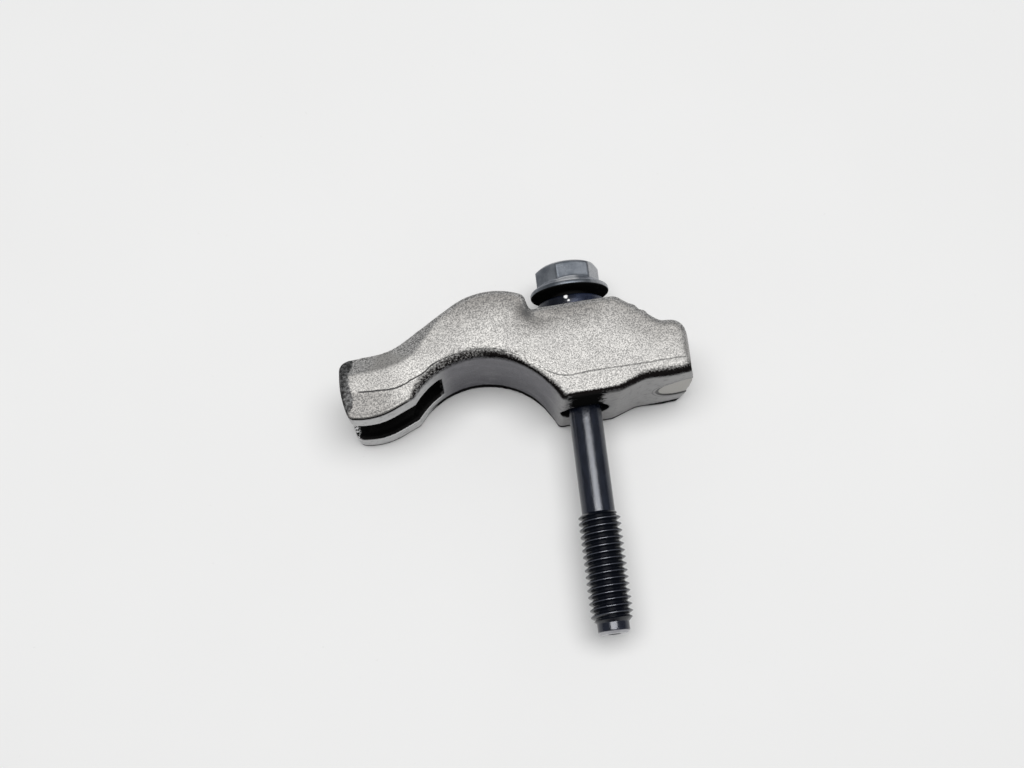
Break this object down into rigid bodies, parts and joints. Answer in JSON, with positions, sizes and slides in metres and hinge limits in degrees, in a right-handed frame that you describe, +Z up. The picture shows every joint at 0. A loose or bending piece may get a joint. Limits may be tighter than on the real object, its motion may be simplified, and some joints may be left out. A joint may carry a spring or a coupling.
{
  "type": "fuel injector clamp",
  "caption": "Forked steel clamp that holds a fuel injector down in a cylinder head, with an arched arm, a rounded heel and its own flanged bolt on a ball-faced seat washer.",
  "frame": {"origin": "on the lower side face that the clamp lies on, straight under the bolt's axis and halfway up the boss", "axes": "+X from the fork towards the heel, +Y along the bolt towards its head, +Z up across the clamp's width"},
  "size_m": [0.0665, 0.0717, 0.024],
  "materials": {
    "forged_steel": "blasted, fine grain",
    "washer_steel": "dark blue-black oxide, satin",
    "bolt_steel": "blue-black oxide, oiled gloss"
  },
  "bodies": {
    "clamp": {"clamp_arm": "forged_steel"},
    "washer": {"seat_washer": "washer_steel"},
    "bolt": {"clamp_bolt": "bolt_steel"}
  },
  "joints": [
    {"name": "washer_turn", "type": "hinge", "parent": "clamp", "child": "washer", "pos_m": [0, 0.0095, 0.012], "axis": [0, 1, 0], "continuous": true},
    {"name": "bolt_slide", "type": "slide", "parent": "washer", "child": "bolt", "axis": [0, 1, 0], "range_m": [-0.00155, 0.058]}
  ]
}
